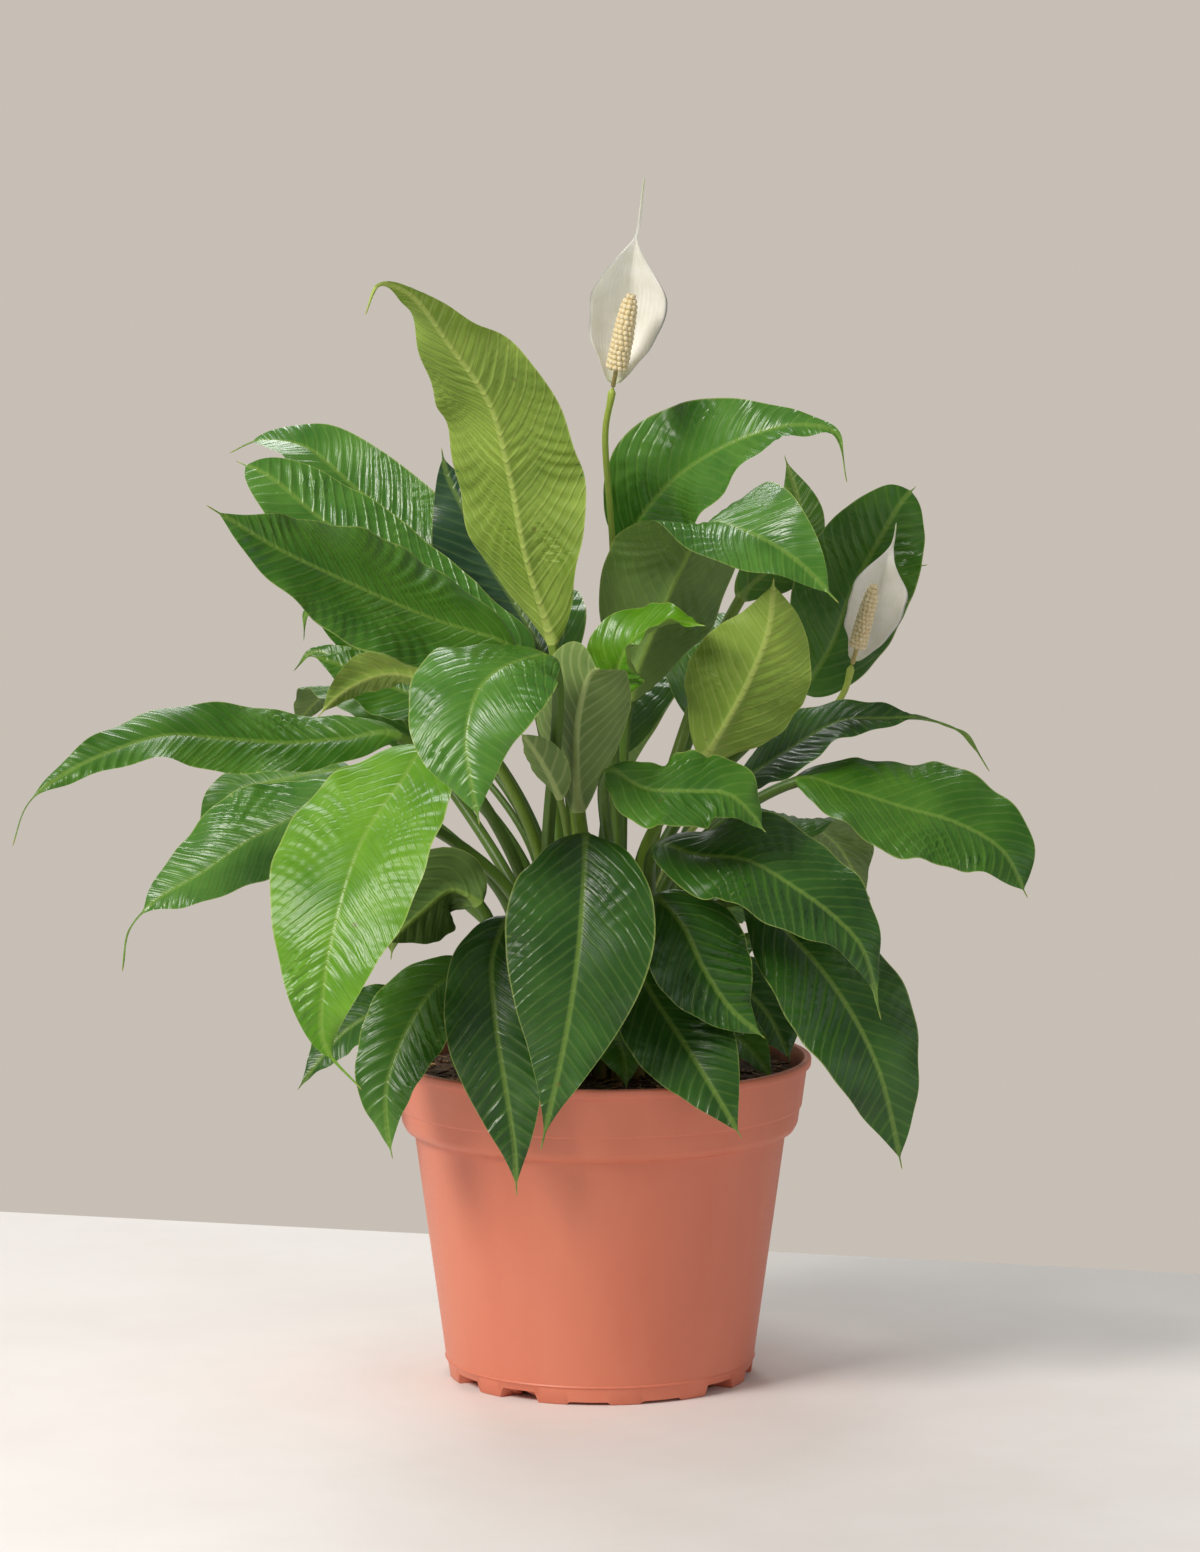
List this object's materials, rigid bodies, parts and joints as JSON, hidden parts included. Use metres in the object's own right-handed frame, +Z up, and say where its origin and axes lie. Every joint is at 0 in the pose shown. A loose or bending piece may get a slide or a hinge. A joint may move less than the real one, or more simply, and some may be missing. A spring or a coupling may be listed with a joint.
{
  "type": "potted peace lily",
  "caption": "Living peace lily with long-stalked glossy leaves and white spathe flowers, growing in a tapered round nursery pot that stands on its base ring.",
  "frame": {"origin": "on the floor under the centre of the pot, on the flat moulding pad of its underside", "axes": "+Z up along the pot's axis, -Y towards the front of the plant, +X to its right seen from the front"},
  "size_m": [0.3927, 0.3236, 0.466],
  "materials": {
    "terracotta_plastic": "satin moulded polypropylene, salmon terracotta",
    "peat_and_bark": "dark damp peat with tan bark fibres",
    "stem_base": "pale green fibrous stem bases",
    "leaf": "glossy dark green leaf with raised side veins",
    "leaf_bright": "glossy mid-green leaf lit through",
    "leaf_underside": "matte pale green leaf underside",
    "young_leaf": "pale soft young leaf",
    "flower_stalk": "smooth light green stalk",
    "spathe": "thin satin white bract",
    "spadix": "cream studs"
  },
  "bodies": {
    "root": {"nursery_pot": "terracotta_plastic", "potting_mix": "peat_and_bark", "crown": "stem_base", "upright_leaf": "leaf_underside", "upper_left_back_leaf": "leaf", "upper_left_leaf": "leaf", "left_large_leaf": "leaf", "slate_leaf": "leaf", "upper_right_leaf": "leaf", "folded_top_leaf": "leaf", "yellow_tip_leaf": "leaf_underside", "right_top_leaf": "leaf", "right_thin_tip_leaf": "leaf", "olive_leaf": "leaf_underside", "small_back_left_leaf": "leaf", "grey_left_leaf": "leaf_underside", "curled_tip_leaf": "leaf", "thread_tip_leaf": "leaf", "long_left_leaf": "leaf", "lower_left_leaf": "leaf", "lower_left_back_leaf": "leaf", "front_left_leaf": "leaf_bright", "glossy_front_leaf": "leaf", "furled_leaf": "young_leaf", "small_furled_leaf": "young_leaf", "small_bright_leaf": "leaf_bright", "right_grey_leaf": "leaf", "right_leaf": "leaf", "front_bright_leaf": "leaf_bright", "front_right_leaf": "leaf", "low_right_leaf": "leaf", "centre_front_leaf": "leaf", "front_left_low_leaf": "leaf", "left_low_leaf": "leaf", "small_dark_left_leaf": "leaf", "shaded_under_leaf": "leaf", "low_right_curled_leaf": "leaf", "low_centre_right_leaf": "leaf", "small_centre_low_leaf": "leaf", "right_inner_low_leaf": "leaf", "right_small_low_leaf": "leaf", "grey_inner_leaf": "leaf", "thin_inner_leaf": "leaf", "soil_sprout_leaf": "leaf", "back_left_leaf": "leaf", "back_centre_left_leaf": "leaf", "back_centre_leaf": "leaf", "back_right_leaf": "leaf", "back_low_right_leaf": "leaf", "back_low_left_leaf": "leaf", "back_low_centre_leaf": "leaf", "tall_flower_stalk": "flower_stalk", "tall_flower_spathe": "spathe", "tall_flower_spadix": "spadix", "short_flower_stalk": "flower_stalk", "short_flower_spathe": "spathe", "short_flower_spadix": "spadix"}
  },
  "joints": []
}
